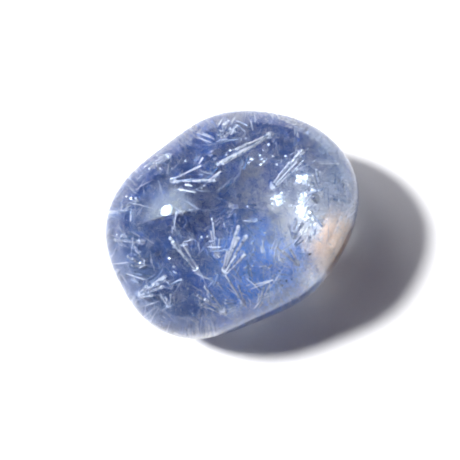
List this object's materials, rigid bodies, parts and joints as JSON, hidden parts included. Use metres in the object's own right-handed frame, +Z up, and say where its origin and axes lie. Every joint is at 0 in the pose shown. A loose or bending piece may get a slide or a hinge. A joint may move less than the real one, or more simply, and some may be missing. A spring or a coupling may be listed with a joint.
{
  "type": "dumortierite in quartz",
  "caption": "Tumbled pebble of clear quartz with sprays of blue dumortierite needles sealed inside, resting on its worn flat underside.",
  "frame": {"origin": "under the middle of the pebble, on the surface that it rests on", "axes": "+X along the pebble's length, +Z up through its thickness"},
  "size_m": [0.0164, 0.013, 0.009],
  "materials": {
    "quartz": "polished, clear",
    "dumortierite": "silky needles, vitreous along their sides"
  },
  "bodies": {
    "root": {"quartz_lower": "quartz", "quartz_upper": "quartz", "spray_back": "dumortierite", "spray_back_edge": "dumortierite", "spray_back_left": "dumortierite", "spray_back_long": "dumortierite", "spray_back_right": "dumortierite", "spray_centre": "dumortierite", "spray_centre_back": "dumortierite", "spray_front_edge": "dumortierite", "spray_front_fan": "dumortierite", "spray_front_left": "dumortierite", "spray_front_middle": "dumortierite", "spray_front_right": "dumortierite", "spray_left": "dumortierite", "spray_left_back": "dumortierite", "spray_left_front": "dumortierite", "spray_left_long": "dumortierite", "spray_left_thick": "dumortierite", "spray_right": "dumortierite", "spray_right_edge": "dumortierite", "spray_right_long": "dumortierite", "spray_right_thick": "dumortierite", "spray_right_upright": "dumortierite", "spray_under_back": "dumortierite", "spray_under_back_edge": "dumortierite", "spray_under_centre_front": "dumortierite", "spray_under_centre_left": "dumortierite", "spray_under_front": "dumortierite", "spray_under_front_edge": "dumortierite", "spray_under_left": "dumortierite", "spray_under_left_back": "dumortierite", "spray_under_left_edge": "dumortierite", "spray_under_left_front": "dumortierite", "spray_under_middle": "dumortierite", "spray_under_right": "dumortierite", "spray_under_right_back": "dumortierite", "spray_under_right_edge": "dumortierite", "spray_under_right_front": "dumortierite"}
  },
  "joints": []
}
